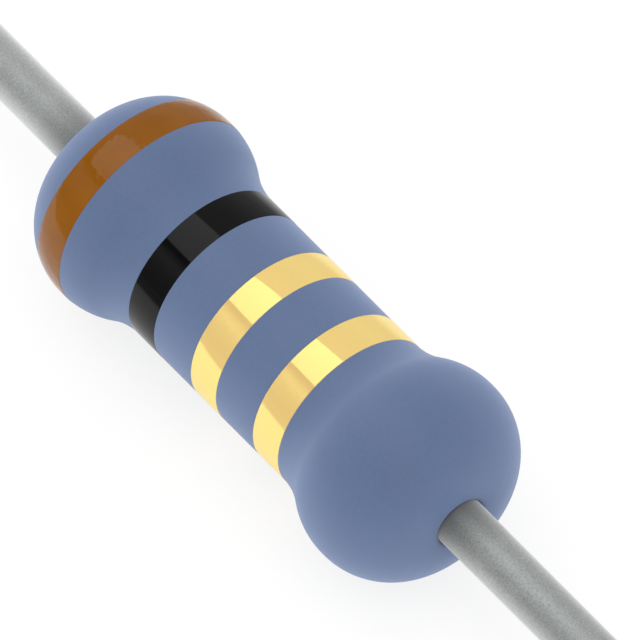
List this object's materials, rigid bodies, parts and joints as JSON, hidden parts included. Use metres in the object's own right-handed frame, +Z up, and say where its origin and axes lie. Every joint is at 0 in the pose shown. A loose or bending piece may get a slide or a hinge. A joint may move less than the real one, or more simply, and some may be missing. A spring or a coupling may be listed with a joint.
{
  "type": "axial-lead film resistor",
  "caption": "Axial-lead resistor with a dumbbell-shaped lacquered body, painted colour bands and a straight round wire leaving each end.",
  "frame": {"origin": "bottom centre of the bounding box: under the middle of the body, on the surface that the two end bulges lie on", "axes": "+X along the wires, from the brown band towards the gold tolerance band; +Z up; the wire axis is parallel to X at half the bulge diameter above the origin"},
  "size_m": [0.062, 0.0024, 0.0024],
  "materials": {
    "alumina": "matte",
    "resistive_metal": "satin",
    "cap_steel": "satin",
    "tinned_wire": "dull tinned",
    "blue_lacquer": "satin",
    "brown_paint": "gloss",
    "black_paint": "gloss",
    "gold_paint": "gloss metallic"
  },
  "bodies": {
    "root": {"ceramic_core": "alumina", "resistive_film": "resistive_metal", "end_cap_left": "cap_steel", "end_cap_right": "cap_steel", "lead_left": "tinned_wire", "lead_right": "tinned_wire", "coating": "blue_lacquer", "first_digit_band": "brown_paint", "second_digit_band": "black_paint", "multiplier_band": "gold_paint", "tolerance_band": "gold_paint"}
  },
  "joints": []
}
